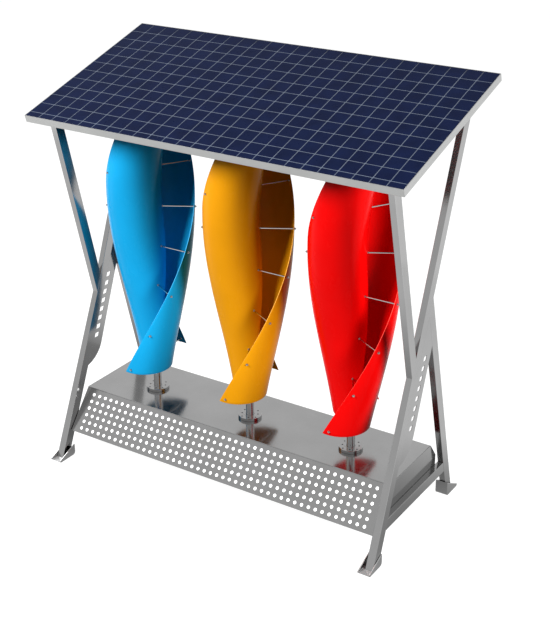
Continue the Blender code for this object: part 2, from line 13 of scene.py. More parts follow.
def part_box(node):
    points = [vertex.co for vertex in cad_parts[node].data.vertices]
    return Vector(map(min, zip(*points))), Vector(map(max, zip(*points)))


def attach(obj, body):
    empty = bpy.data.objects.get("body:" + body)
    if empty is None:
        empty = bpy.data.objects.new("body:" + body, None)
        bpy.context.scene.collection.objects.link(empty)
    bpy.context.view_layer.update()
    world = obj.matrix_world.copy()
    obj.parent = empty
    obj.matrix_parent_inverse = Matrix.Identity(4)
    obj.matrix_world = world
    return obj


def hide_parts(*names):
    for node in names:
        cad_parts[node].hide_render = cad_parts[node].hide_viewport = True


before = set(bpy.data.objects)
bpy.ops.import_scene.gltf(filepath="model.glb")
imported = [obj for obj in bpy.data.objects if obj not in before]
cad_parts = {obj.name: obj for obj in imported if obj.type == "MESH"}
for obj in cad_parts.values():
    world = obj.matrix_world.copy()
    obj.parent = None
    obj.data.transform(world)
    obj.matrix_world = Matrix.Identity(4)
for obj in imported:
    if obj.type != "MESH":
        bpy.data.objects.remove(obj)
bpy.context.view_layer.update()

# ---------------------------------------------------------------- dimensions
SIDES = (("left", -1.0), ("center", 0.0), ("right", 1.0))
ROTOR_PITCH = 0.605
FLANGE_LOW, FLANGE_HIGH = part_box("bearing_flange_center")
ROTOR_Y = (FLANGE_LOW.y + FLANGE_HIGH.y) / 2.0
FLANGE_GAP = 0.0003          # between a flange and the base top
BASE_TOP = FLANGE_LOW.z - FLANGE_GAP
FLANGE_RADIUS = (FLANGE_HIGH.x - FLANGE_LOW.x) / 2.0
ROTOR_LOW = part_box("rotor_center_blade_a")[0].z
ROTOR_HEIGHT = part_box("rotor_center_blade_a")[1].z - ROTOR_LOW

BLADE_RADIUS = 0.1405
BLADE_OFFSET = 0.0856
BLADE_SHEET = 0.003
BLADE_START = math.radians(-6.5)
BLADE_END = math.radians(199.0)
TWIST = math.radians(139.9)
TIP_ANGLE_LOW = math.radians(-94.9)
BLADE_LEVELS = 110           # mesh divisions up the helix and round the section
BLADE_STEPS = 40

SHAFT_RADIUS = 0.0215
ROD_RADIUS = 0.0036
ROD_FIRST = 0.0205
ROD_PITCH = 0.2130
ROD_COUNT = 7
ROD_LEAD = math.radians(2.8)
ROD_TIP = 0.2265             # where a rod leaves the outer blade
ROD_END = 0.008              # how far it stands out past that blade
ROD_WAIST = 0.0550           # where it passes the inner edge of the other blade

PANEL_TILT = math.radians(17.0)
PANEL_WIDTH = 2.104
PANEL_DEPTH = 1.000
PANEL_FRONT_Y = -0.4145
PANEL_FRONT_Z = 1.909
CELL_PITCH_X = 0.0840
CELL_PITCH_S = 0.0866
CELL_GAP = 0.0042
CELL_CHAMFER = 0.0022
CELL_EDGE = 0.0005           # how far a cell's top face is inset
CELL_LOW = -0.0013           # heights of a cell's underside and top, from the panel's face
CELL_HIGH = -0.0007
CELL_MARGIN = 0.0036         # from the panel's outside to the first cell
GRID_SHEET = 0.0010
BACKSHEET = 0.0038
BACKSHEET_HIGH = -0.0025
SHEET_MARGIN = 0.0034        # from the panel's outside to the two sheets under the cells
SLIVER = 0.010               # narrower cut cells than this are left out

BOX_LOW = 0.142
BOX_FRONT_LOW_Y = -0.3555
BOX_FRONT_HIGH_Y = -0.197
BOX_HALF = 0.9335
SHEET = 0.003
FRONT_GAP = 0.0003           # between the front sheet and its neighbours
HOLE_RADIUS = 0.0085
HOLE_SIDES = 20
HOLE_COLUMNS = 46
HOLE_ROWS = 6
HOLE_PITCH_X = 0.0389
HOLE_PITCH_S = 0.0381
HOLE_FIRST_S = 0.0350
HOLE_SHIFT = 0.001           # how far left of the middle the rows of holes sit

TURNED_EDGE = 0.001          # chamfer of turned parts
FLANGE_EDGE = 0.0012
BORE_GAP = 0.0005
COLLAR_RADIUS = 0.0330       # raised ring round a flange's bore
COLLAR_EDGE = 0.0008
COLLAR_HEIGHT = 0.0006
SCREW_COUNT = 8              # holes in a bearing flange, on two circles in turn
SCREW_RADIUS = 0.0045
SCREW_REACH = 0.010          # how far a hole's cutter goes below and above the flange's top
SCREW_CIRCLES = (0.0420, 0.0500)

# ---------------------------------------------------------------- light and camera
ROOM_LOW = 1.0               # brightness of the room near the horizon, and overhead
ROOM_HIGH = 0.68
ROOM_FRONT = 0.82            # share of that brightness left in front of the unit
CEILING_BAND = (0.10, 0.80)  # upward part of a direction at which each brightness is reached
FRONT_BAND = (-0.80, -0.20)  # the same for the room in front, by the part along Y
STRIP_DIRECTION = (-0.50, 0.12, 0.85)    # small overhead spot that only reflections see
STRIP_STRENGTH = 2.5
STRIP_EDGE = math.radians(14.0)          # half angles where the spot starts and is full
STRIP_CORE = math.radians(10.0)
SOFT_FILL = 0.11             # brightness of the room as diffuse light sees it
FLOOR_GLOW = 0.97
FLOOR_HALF = 40.0
FLOOR_HEIGHT = -0.0005
SHADE_DARK = 0.26            # brightness of the floor under the unit, as reflections see it
SHADE_HALF = 3.0
SHADE_HEIGHT = -0.0003
SHADE_DEPTH = 0.60           # the dark patch's depth for each unit of its width
SHADE_START = 0.90           # distances at which the floor starts to brighten and is white
SHADE_END = 1.90
LAMP_TARGET = (0.0, 0.0, 1.1)
LAMPS = (
    ("key", (-2.9, -5.6, 5.6), (3.0, 2.6), 1190.0),
    ("side", (6.4, -1.2, 3.6), (2.6, 2.4), 690.0),
)
CAMERA_PLACE = (3.320, -4.946 + ROTOR_Y, 3.646)
CAMERA_PITCH = math.radians(90.0 - 21.684)
CAMERA_TURN = math.radians(32.615)
CAMERA_LENS = 74.84
CAMERA_SHIFT = -0.0968


# ---------------------------------------------------------------- materials
def principled(name, colour, roughness, metallic):
    mat = bpy.data.materials.new(name)
    mat.use_nodes = True
    shader = mat.node_tree.nodes["Principled BSDF"]
    shader.inputs["Base Color"].default_value = (*colour, 1.0)
    shader.inputs["Roughness"].default_value = roughness
    shader.inputs["Metallic"].default_value = metallic
    return mat, shader


def noise(mat, scale, detail=3.0, roughness=0.55):
    """A noise texture in the part's own metres; scale is per axis."""
    nodes = mat.node_tree.nodes
    links = mat.node_tree.links
    coords = nodes.new("ShaderNodeTexCoord")
    mapping = nodes.new("ShaderNodeMapping")
    mapping.inputs["Scale"].default_value = scale
    texture = nodes.new("ShaderNodeTexNoise")
    texture.inputs["Scale"].default_value = 1.0
    texture.inputs["Detail"].default_value = detail
    texture.inputs["Roughness"].default_value = roughness
    links.new(coords.outputs["Object"], mapping.inputs["Vector"])
    links.new(mapping.outputs["Vector"], texture.inputs["Vector"])
    return texture.outputs["Fac"]


def spread(owner, value, low, high, start=0.3, end=0.7):
    """A value of a material or a world, carried from start and end to low and high."""
    node = owner.node_tree.nodes.new("ShaderNodeMapRange")
    node.inputs["From Min"].default_value = start
    node.inputs["From Max"].default_value = end
    node.inputs["To Min"].default_value = low
    node.inputs["To Max"].default_value = high
    owner.node_tree.links.new(value, node.inputs["Value"])
    return node.outputs["Result"]


def combined(owner, operation, first, second):
    """Two values of a material or a world joined by one sum or product."""
    node = owner.node_tree.nodes.new("ShaderNodeMath")
    node.operation = operation
    owner.node_tree.links.new(first, node.inputs[0])
    owner.node_tree.links.new(second, node.inputs[1])
    return node.outputs["Value"]


def blend_colour(mat, factor, first, second):
    node = mat.node_tree.nodes.new("ShaderNodeMix")
    node.data_type = "RGBA"
    node.inputs["A"].default_value = (*first, 1.0)
    node.inputs["B"].default_value = (*second, 1.0)
    mat.node_tree.links.new(factor, node.inputs["Factor"])
    return node.outputs["Result"]


def bump(mat, shader, height, distance, strength=1.0, under=None):
    node = mat.node_tree.nodes.new("ShaderNodeBump")
    node.inputs["Strength"].default_value = strength
    node.inputs["Distance"].default_value = distance
    mat.node_tree.links.new(height, node.inputs["Height"])
    if under is not None:
        mat.node_tree.links.new(under, node.inputs["Normal"])
    mat.node_tree.links.new(node.outputs["Normal"], shader.inputs["Normal"])
    return node.outputs["Normal"]


def scaled(colour, factor):
    return tuple(min(1.0, c * factor) for c in colour)


def metal(name, colour, roughness, grain, grain_depth, cloud=0.05, smear=0.05):
    """Bare metal with faint clouding and a few dull smears.

    The grain is drawn out into brushing lines along the axis where its scale is small.
    """
    mat, shader = principled(name, colour, roughness, 1.0)
    links = mat.node_tree.links
    clouds = spread(mat, noise(mat, (4.0, 4.0, 4.0), 4.0), 0.0, 1.0)
    links.new(blend_colour(mat, clouds, scaled(colour, 1.0 - cloud), scaled(colour, 1.0 + cloud)),
              shader.inputs["Base Color"])
    lines = noise(mat, grain, 2.0, 0.6)
    smears = noise(mat, (9.0, 9.0, 9.0), 5.0, 0.65)
    mixed = mat.node_tree.nodes.new("ShaderNodeMath")
    mixed.operation = "MULTIPLY_ADD"
    mixed.inputs[1].default_value = 0.35
    links.new(lines, mixed.inputs[0])
    links.new(smears, mixed.inputs[2])
    links.new(spread(mat, mixed.outputs[0], roughness - smear / 2, roughness + smear, 0.45, 0.95),
              shader.inputs["Roughness"])
    bump(mat, shader, lines, grain_depth)
    return mat


def paint(name, colour, roughness):
    """Gloss paint on sheet metal: slight waviness, orange peel and a little tone variation."""
    mat, shader = principled(name, colour, roughness, 0.0)
    links = mat.node_tree.links
    tone = spread(mat, noise(mat, (3.0, 3.0, 3.0), 3.0), 0.0, 1.0)
    links.new(blend_colour(mat, tone, scaled(colour, 0.94), scaled(colour, 1.04)),
              shader.inputs["Base Color"])
    links.new(spread(mat, noise(mat, (14.0, 14.0, 6.0), 4.0), roughness - 0.04, roughness + 0.06),
              shader.inputs["Roughness"])
    shader.inputs["Specular IOR Level"].default_value = 0.05
    wave = bump(mat, shader, noise(mat, (5.0, 5.0, 2.5), 1.0), 0.0015)
    bump(mat, shader, noise(mat, (420.0, 420.0, 420.0), 1.0), 0.00003, 1.0, wave)
    return mat


def plastic(name, colour, roughness, grain=700.0, depth=0.00005):
    mat, shader = principled(name, colour, roughness, 0.0)
    links = mat.node_tree.links
    tone = spread(mat, noise(mat, (30.0, 30.0, 30.0), 3.0), 0.0, 1.0)
    links.new(blend_colour(mat, tone, scaled(colour, 0.88), scaled(colour, 1.12)),
              shader.inputs["Base Color"])
    links.new(spread(mat, noise(mat, (60.0, 60.0, 60.0), 3.0), roughness - 0.05, roughness + 0.08),
              shader.inputs["Roughness"])
    bump(mat, shader, noise(mat, (grain, grain, grain), 2.0), depth)
    return mat


def make_materials():
    # key: material name, colour, roughness, scale of the grain along each axis, its depth
    metals = {
        "aluminium_x": ("anodised_aluminium_x", (0.45, 0.455, 0.45), 0.34, (6.0, 900.0, 900.0),
                        0.00002),
        "aluminium_y": ("anodised_aluminium_y", (0.50, 0.505, 0.50), 0.34, (900.0, 6.0, 900.0),
                        0.00002),
        "rail": ("rail_aluminium", (0.50, 0.51, 0.50), 0.40, (8.0, 500.0, 500.0), 0.00003),
        "frame": ("frame_stainless", (0.378, 0.378, 0.378), 0.13, (700.0, 700.0, 9.0), 0.000012),
        "foot": ("foot_stainless", (0.46, 0.46, 0.46), 0.10, (500.0, 9.0, 500.0), 0.000010),
        # lighter copy of the foot metal for faces that look up: painted highlight
        "foot_painted_highlight": ("foot_edge_stainless", (0.76, 0.76, 0.76), 0.20, (500.0, 9.0, 500.0), 0.00001),
        "base": ("base_stainless", (0.43, 0.43, 0.43), 0.20, (6.0, 800.0, 800.0), 0.000015),
        "base_top": ("base_top_stainless", (0.41, 0.41, 0.41), 0.13, (6.0, 800.0, 800.0), 0.000008),
        "base_end": ("base_end_stainless", (0.34, 0.34, 0.34), 0.10, (800.0, 6.0, 800.0), 0.000010),
        "flange": ("flange_stainless", (0.42, 0.42, 0.42), 0.16, (400.0, 400.0, 400.0), 0.00001),
        "polished": ("polished_stainless", (0.60, 0.60, 0.60), 0.09, (500.0, 500.0, 500.0), 0.000008),
        "rod": ("rod_stainless", (0.55, 0.55, 0.54), 0.16, (300.0, 300.0, 300.0), 0.00002),
        "fixing": ("zinc_fixings", (0.42, 0.42, 0.41), 0.28, (400.0, 400.0, 400.0), 0.00003),
    }
    mats = {key: metal(*values) for key, values in metals.items()}
    mats.update({
        "grey": plastic("grey_enamel", (0.16, 0.17, 0.18), 0.42),
        "black": plastic("black_plastic", (0.018, 0.018, 0.019), 0.48),
        "backsheet": plastic("white_backsheet", (0.62, 0.63, 0.64), 0.50, 300.0),
        "blade_left": paint("blue_enamel", (0.006, 0.282, 0.560), 0.24),
        "blade_center": paint("orange_enamel", (0.590, 0.240, 0.0030), 0.24),
        "blade_right": paint("red_enamel", (0.630, 0.0015, 0.0015), 0.24),
        # lighter copies of the three blade paints for the sheet's rims: painted highlight along the
        # blade edges
        "edge_left": paint("blue_rim_painted_highlight", (0.080, 0.450, 0.800), 0.30),
        "edge_center": paint("orange_rim_painted_highlight", (0.900, 0.450, 0.080), 0.30),
        "edge_right": paint("red_rim_painted_highlight", (0.880, 0.080, 0.060), 0.30),
    })
    # the feet's up-facing faces take this lighter copy as a painted highlight
    foot_painted_highlight = mats["foot_painted_highlight"].node_tree.nodes["Principled BSDF"]
    foot_painted_highlight.inputs["Metallic"].default_value = 0.8
    mats["cell"] = cell_material()
    mats["grid"] = plastic("cell_gap", (0.065, 0.08, 0.11), 0.45, 300.0, 0.00001)
    light, shader = principled("light_sheet", (0.90, 0.90, 0.90), 0.45, 0.0)
    shader.inputs["Emission Color"].default_value = (1.0, 1.0, 1.0, 1.0)
    shader.inputs["Emission Strength"].default_value = 1.0
    light.cycles.emission_sampling = "NONE"
    links = light.node_tree.links
    links.new(spread(light, noise(light, (25.0, 25.0, 25.0), 3.0), 0.40, 0.55),
              shader.inputs["Roughness"])
    bump(light, shader, noise(light, (300.0, 300.0, 300.0), 2.0), 0.00005)
    mats["light"] = light
    return mats


def cell_material():
    """Dark blue silicon: mottled tone, uneven roughness and a very slight waviness."""
    base = (0.0022, 0.0052, 0.0235)
    mat, shader = principled("solar_cell", base, 0.30, 0.0)
    links = mat.node_tree.links
    tone = spread(mat, noise(mat, (11.0, 11.0, 11.0), 2.0), 0.0, 1.0)
    mottled = blend_colour(mat, tone, scaled(base, 0.85), scaled(base, 1.2))
    links.new(mottled, shader.inputs["Base Color"])
    shader.inputs["Specular IOR Level"].default_value = 0.03
    links.new(spread(mat, noise(mat, (40.0, 40.0, 40.0), 3.0), 0.26, 0.36), shader.inputs["Roughness"])
    bump(mat, shader, noise(mat, (2.0, 2.0, 2.0), 1.0), 0.0004)
    return mat


# ---------------------------------------------------------------- mesh helpers
def add_object(name, data):
    obj = bpy.data.objects.new(name, data)
    bpy.context.scene.collection.objects.link(obj)
    return obj


def place(name, mesh, material, body, replaces=()):
    """A piece of the part, with its body and the CAD nodes it stands in for."""
    obj = add_object(name, mesh)
    for mat in material if isinstance(material, (list, tuple)) else [material]:
        obj.data.materials.append(mat)
    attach(obj, body)
    if replaces:
        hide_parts(*replaces)
    return obj


def finish_mesh(bm, name, smooth_angle=35.0):
    bmesh.ops.recalc_face_normals(bm, faces=bm.faces)
    mesh = bpy.data.meshes.new(name)
    bm.to_mesh(mesh)
    bm.free()
    mesh.shade_smooth()
    mesh.set_sharp_from_angle(angle=math.radians(smooth_angle))
    return mesh


def add_bevel(obj, width, segments=3, angle=30.0):
    mod = obj.modifiers.new("rounded_edges", "BEVEL")
    mod.width = width
    mod.segments = segments
    mod.limit_method = "ANGLE"
    mod.angle_limit = math.radians(angle)
    mod.harden_normals = False


def refined(node, name, material, width, segments=3, upward=None):
    """A CAD node's own shape with clean faces and rounded edges.

    Faces that look up get the second material, if one is given; the feet use it for a painted
    highlight.
    """
    bm = bmesh.new()
    bm.from_mesh(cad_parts[node].data)
    bmesh.ops.remove_doubles(bm, verts=bm.verts, dist=0.00002)
    bmesh.ops.dissolve_limit(bm, angle_limit=math.radians(1.0), verts=bm.verts, edges=bm.edges)
    bm.normal_update()
    for face in bm.faces:
        face.material_index = 1 if upward is not None and face.normal.z > 0.5 else 0
    finishes = [material] if upward is None else [material, upward]
    obj = place(name, finish_mesh(bm, name), finishes, "frame", [node])
    add_bevel(obj, width, segments)


def lathe(bm, rings, segments, centre, axis=None):
    """Surface of revolution. Rings are (radius, height); a zero radius closes an end."""
    turn = Matrix.Identity(4) if axis is None else axis
    shift = Vector(centre)
    loops = []
    for radius, height in rings:
        count = 1 if radius == 0.0 else segments
        loop = []
        for i in range(count):
            a = 2.0 * math.pi * i / segments
            p = Vector((radius * math.cos(a), radius * math.sin(a), height))
            loop.append(bm.verts.new(turn @ p + shift))
        loops.append(loop)
    if rings[0][0] > 0.0 and rings[-1][0] > 0.0:
        loops.append(loops[0])
    for low, high in zip(loops, loops[1:]):
        for i in range(segments):
            j = (i + 1) % segments
            corners = [low[i % len(low)], low[j % len(low)], high[j % len(high)], high[i % len(high)]]
            unique = []
            for corner in corners:
                if corner not in unique:
                    unique.append(corner)
            bm.faces.new(unique)


def along(direction):
    """Rotation that carries +Z onto a direction."""
    return Vector((0.0, 0.0, 1.0)).rotation_difference(Vector(direction)).to_matrix().to_4x4()


# ---------------------------------------------------------------- solar panel
def panel_matrix():
    place_at = Matrix.Translation((0.0, PANEL_FRONT_Y + ROTOR_Y, PANEL_FRONT_Z))
    return place_at @ Matrix.Rotation(PANEL_TILT, 4, "X")


def panel_sheet(name, material, height, thickness, replaces=()):
    """Flat sheet that fills the panel frame, its top at a height from the panel's face."""
    bm = bmesh.new()
    bmesh.ops.create_grid(bm, x_segments=24, y_segments=12, size=0.5)
    size = (PANEL_WIDTH - 2.0 * SHEET_MARGIN, PANEL_DEPTH - 2.0 * SHEET_MARGIN, 1.0)
    bmesh.ops.scale(bm, vec=size, verts=bm.verts)
    bmesh.ops.translate(bm, vec=(0.0, PANEL_DEPTH / 2, 0.0), verts=bm.verts)
    bm.transform(panel_matrix() @ Matrix.Translation((0.0, 0.0, height)))
    sheet = place(name, finish_mesh(bm, name), material, "frame", replaces)
    thick = sheet.modifiers.new("sheet", "SOLIDIFY")
    thick.thickness = thickness
    thick.offset = -1.0


def build_panel(mats):
    for side, metal_name in (("front", "aluminium_x"), ("back", "aluminium_x"),
                             ("left", "aluminium_y"), ("right", "aluminium_y")):
        refined("pv_frame_" + side, "panel_frame_" + side, mats[metal_name],
                0.0007, 2)
    panel_sheet("panel_interconnects", mats["grid"], CELL_LOW, GRID_SHEET, ["pv_laminate"])
    panel_sheet("panel_backsheet", mats["backsheet"], BACKSHEET_HIGH, BACKSHEET)
    build_cells(mats)
    refined("junction_box", "junction_box_shell", mats["black"], 0.0020)
    for name in ("rail_front", "rail_back"):
        refined(name, name + "_bar", mats["rail"], 0.0015)
    for side, _ in SIDES:
        refined("cross_rail_" + side, "cross_rail_bar_" + side, mats["rail"],
                0.0015)


def build_cells(mats):
    """Cells with cut corners. Full rows start at the back edge, so the front row is cut."""
    bm = bmesh.new()
    x0 = -PANEL_WIDTH / 2.0 + CELL_MARGIN
    x1 = PANEL_WIDTH / 2.0 - CELL_MARGIN
    s0 = CELL_MARGIN
    s1 = PANEL_DEPTH - CELL_MARGIN
    gap = CELL_GAP / 2.0
    cut = CELL_CHAMFER
    columns = int(math.ceil((x1 - x0) / CELL_PITCH_X))
    rows = int(math.ceil((s1 - s0) / CELL_PITCH_S))
    for i in range(columns):
        xa = x0 + CELL_PITCH_X * i + (gap if i else 0.0)
        xb = min(x0 + CELL_PITCH_X * (i + 1) - gap, x1)
        for j in range(rows):
            sb = s1 - CELL_PITCH_S * j - (gap if j else 0.0)
            sa = max(s1 - CELL_PITCH_S * (j + 1) + gap, s0)
            if xb - xa < SLIVER or sb - sa < SLIVER:
                continue
            cx = (xa + xb) / 2
            cs = (sa + sb) / 2
            outline = ((xa + cut, sa), (xb - cut, sa), (xb, sa + cut), (xb, sb - cut),
                       (xb - cut, sb), (xa + cut, sb), (xa, sb - cut), (xa, sa + cut))
            low = [bm.verts.new((x, s, CELL_LOW)) for x, s in outline]
            top = [bm.verts.new((x + math.copysign(CELL_EDGE, cx - x),
                                 s + math.copysign(CELL_EDGE, cs - s), CELL_HIGH))
                   for x, s in outline]
            bm.faces.new(top)
            for k in range(8):
                m = (k + 1) % 8
                bm.faces.new((low[k], low[m], top[m], top[k]))
    bm.transform(panel_matrix())
    place("panel_cells", finish_mesh(bm, "panel_cells", 10.0), mats["cell"], "frame")


# ---------------------------------------------------------------- end frames and feet
def build_end_frames(mats):
    for side in ("left", "right"):
        for member in ("diagonal_leg", "front_branch", "back_leg", "crossbar"):
            node = member + "_" + side
            refined(node, node + "_tube", mats["frame"], 0.0016, 3)
        node = "web_plate_" + side
        refined(node, node + "_sheet", mats["frame"], 0.0005, 2)
        for end in ("front", "back"):
            node = "foot_%s_%s" % (end, side)
            # faces of each foot that look up take the lighter copy: painted highlight
            refined(node, node + "_bracket", mats["foot"], 0.0010, 3,
                    mats["foot_painted_highlight"])


# ---------------------------------------------------------------- base box
def build_base(mats):
    refined("base_top_cover", "base_cover_sheet", mats["base_top"], 0.0014, 4)
    refined("base_back_panel", "base_back_sheet", mats["base"], 0.0010)
    refined("base_bottom_tray", "base_bottom_sheet", mats["base"], 0.0010)
    for side in ("left", "right"):
        refined("base_end_cap_" + side, "base_end_sheet_" + side, mats["base_end"],
                0.0012, 3)
        refined("battery_" + side, "battery_case_" + side, mats["black"], 0.0020)
    refined("base_light_sheet", "base_diffuser", mats["light"], 0.0005, 2)
    refined("charge_controller", "charge_controller_case", mats["grey"], 0.0020)
    refined("cable_gland", "cable_gland_body", mats["black"], 0.0006, 2)
    build_perforated_front(mats)


def hole_points(x, s):
    """Corners of a round hole, starting just past the +X direction."""
    points = []
    for k in range(HOLE_SIDES):
        angle = 2.0 * math.pi * (k + 0.5) / HOLE_SIDES
        points.append((x + HOLE_RADIUS * math.cos(angle), s + HOLE_RADIUS * math.sin(angle)))
    return points


def fill_square(bm, corners, ring):
    """Faces between a square's corners and the round hole in it, one quarter at a time."""
    quarter = len(ring) // 4
    for q in range(4):
        corner = corners[(q + 2) % 4]
        following = corners[(q + 3) % 4]
        arc = [ring[(q * quarter + k) % len(ring)] for k in range(quarter + 1)]
        for point, next_point in zip(arc[:-2], arc[1:-1]):
            bm.faces.new((corner, next_point, point))
        bm.faces.new((corner, following, arc[-1], arc[-2]))


def build_perforated_front(mats):
    """Front sheet with real punched holes: each hole is a ring of faces inside its own square."""
    run = BOX_FRONT_HIGH_Y - BOX_FRONT_LOW_Y
    rise = BASE_TOP - BOX_LOW
    length = math.hypot(run, rise)
    down = Vector((0.0, -run / length, -rise / length))
    inward = Vector((0.0, rise / length, -run / length))
    top = Vector((0.0, BOX_FRONT_HIGH_Y + ROTOR_Y, BASE_TOP))
    half = BOX_HALF - SHEET - FRONT_GAP
    first = (SHEET + FRONT_GAP) * length / rise

    # edges of the squares across the sheet and down it, with a plain margin all round
    left = -HOLE_PITCH_X * (HOLE_COLUMNS - 1) / 2.0 - HOLE_SHIFT
    across = [left + HOLE_PITCH_X * (i - 0.5) for i in range(HOLE_COLUMNS + 1)]
    across = [-half] + across + [half]
    lower = [HOLE_FIRST_S + HOLE_PITCH_S * (j - 0.5) for j in range(HOLE_ROWS + 1)]
    lower = [first] + lower + [length]
    bm = bmesh.new()
    cache = {}

    def vert(x, s, layer):
        key = (round(x, 6), round(s, 6), layer)
        if key not in cache:
            point = Vector((x, 0.0, 0.0)) + top + down * s + inward * (SHEET * layer)
            cache[key] = bm.verts.new(point)
        return cache[key]

    def wall(first_point, second_point):
        """Face through the sheet's thickness between two of its points."""
        bm.faces.new((vert(*first_point, 0), vert(*second_point, 0),
                      vert(*second_point, 1), vert(*first_point, 1)))

    for i, (xa, xb) in enumerate(zip(across, across[1:])):
        for j, (sa, sb) in enumerate(zip(lower, lower[1:])):
            punched = 0 < i < len(across) - 2 and 0 < j < len(lower) - 2
            points = hole_points((xa + xb) / 2, (sa + sb) / 2)
            for layer in (0, 1):
                corners = [vert(x, s, layer) for x, s in ((xa, sa), (xb, sa), (xb, sb), (xa, sb))]
                if punched:
                    fill_square(bm, corners, [vert(*point, layer) for point in points])
                else:
                    bm.faces.new(corners)
            if punched:
                for point, next_point in zip(points, points[1:] + points[:1]):
                    wall(point, next_point)
    for xa, xb in zip(across, across[1:]):
        for s in (first, length):
            wall((xa, s), (xb, s))
    for sa, sb in zip(lower, lower[1:]):
        for x in (-half, half):
            wall((x, sa), (x, sb))
    place("base_perforated_front", finish_mesh(bm, "base_perforated_front"), mats["base"], "frame",
          ["base_front_panel"])


# ---------------------------------------------------------------- bearings and generators
def build_bearings(mats):
    for side, k in SIDES:
        x = k * ROTOR_PITCH
        refined("top_bearing_" + side, "top_bearing_block_" + side, mats["grey"],
                0.0025)
        refined("generator_" + side, "generator_body_" + side, mats["grey"],
                0.0015, 2)
        bm = bmesh.new()
        bore = SHAFT_RADIUS + BORE_GAP
        low = FLANGE_LOW.z
        high = FLANGE_HIGH.z
        collar = high + COLLAR_HEIGHT
        lathe(bm, [(bore, low), (FLANGE_RADIUS - TURNED_EDGE, low),
                   (FLANGE_RADIUS, low + TURNED_EDGE), (FLANGE_RADIUS, high - FLANGE_EDGE),
                   (FLANGE_RADIUS - FLANGE_EDGE, high), (COLLAR_RADIUS, high),
                   (COLLAR_RADIUS - COLLAR_EDGE, collar), (bore + TURNED_EDGE, collar),
                   (bore, collar - TURNED_EDGE)],
              64, (x, ROTOR_Y, 0.0))
        flange = place("bearing_flange_disc_" + side, finish_mesh(bm, "flange_" + side),
                       mats["flange"], "frame", ["bearing_flange_" + side])
        holes = bmesh.new()
        rings = [(0.0, high - SCREW_REACH), (SCREW_RADIUS, high - SCREW_REACH),
                 (SCREW_RADIUS, high + SCREW_REACH), (0.0, high + SCREW_REACH)]
        for i in range(SCREW_COUNT):
            a = (i + 0.5) * 2.0 * math.pi / SCREW_COUNT
            reach = SCREW_CIRCLES[i % 2]
            lathe(holes, rings, 16,
                  (x + reach * math.cos(a), ROTOR_Y + reach * math.sin(a), 0.0))
        cutter_mesh = finish_mesh(holes, "flange_holes_" + side)
        # the cutter's black material goes onto the hole walls: painted shade inside the screw holes
        cutter_mesh.materials.append(mats["black"])
        cutter = add_object("flange_holes_" + side, cutter_mesh)
        flange.data.materials.append(mats["black"])
        mod = flange.modifiers.new("holes", "BOOLEAN")
        mod.operation = "DIFFERENCE"
        mod.solver = "EXACT"
        mod.material_mode = "TRANSFER"
        mod.object = cutter
        bake(flange)
        bpy.data.objects.remove(cutter, do_unlink=True)


def bake(obj):
    """Replace an object's mesh with its evaluated one and drop the modifiers."""
    graph = bpy.context.evaluated_depsgraph_get()
    mesh = bpy.data.meshes.new_from_object(obj.evaluated_get(graph))
    obj.modifiers.clear()
    obj.data = mesh
    obj.data.shade_smooth()
    obj.data.set_sharp_from_angle(angle=math.radians(35.0))


# ---------------------------------------------------------------- rotors
def tip_angle(z):
    return TIP_ANGLE_LOW + TWIST * (z - ROTOR_LOW)


def blade_mesh(name, x, turn):
    """Middle surface of a blade, thickened later: a half round swept up the helix."""
    bm = bmesh.new()
    grid = []
    for i in range(BLADE_LEVELS + 1):
        z = ROTOR_LOW + ROTOR_HEIGHT * i / BLADE_LEVELS
        tip = tip_angle(z) + turn
        cx = x + BLADE_OFFSET * math.cos(tip)
        cy = ROTOR_Y + BLADE_OFFSET * math.sin(tip)
        row = []
        for j in range(BLADE_STEPS + 1):
            a = tip + BLADE_START + (BLADE_END - BLADE_START) * j / BLADE_STEPS
            row.append(bm.verts.new((cx + BLADE_RADIUS * math.cos(a),
                                     cy + BLADE_RADIUS * math.sin(a), z)))
        grid.append(row)
    for i in range(BLADE_LEVELS):
        for j in range(BLADE_STEPS):
            bm.faces.new((grid[i][j], grid[i][j + 1], grid[i + 1][j + 1], grid[i + 1][j]))
    mesh = bpy.data.meshes.new(name)
    bm.to_mesh(mesh)
    bm.free()
    mesh.shade_smooth()
    return mesh


WASHER_BACK = BLADE_SHEET / 2 + 0.0002   # a washer's back, from the middle of the blade's sheet
TIP_SINK = 0.0006            # how far outer washers sink in, since the sheet is curved there
WAIST_SINK = 0.0004

# outlines of the fixings, as (radius, height)
HEX = [(0.0, 0.0), (0.0046, 0.0), (0.0052, 0.0005), (0.0052, 0.0036), (0.0045, 0.0041),
       (0.0, 0.0041)]
WASHER = [(0.0, 0.0), (0.0060, 0.0), (0.0063, 0.0003), (0.0063, 0.0011), (0.0060, 0.0014),
          (0.0, 0.0014)]
DOME = [(0.0, -0.001), (0.0038, 0.0), (0.0037, 0.0012), (0.0028, 0.0024), (0.0014, 0.0029),
        (0.0, 0.0031)]
NUT_START = WASHER[-1][1]    # heights above the washer's back
DOME_START = 0.0053


def fixing(bm, centre, direction, domed):
    """Washer and hexagon nut on a rod, the washer's back at centre."""
    turn = along(direction)
    unit = Vector(direction)
    lathe(bm, WASHER, 20, centre, turn)
    lathe(bm, HEX, 6, Vector(centre) + unit * NUT_START, turn)
    if domed:
        lathe(bm, DOME, 14, Vector(centre) + unit * DOME_START, turn)


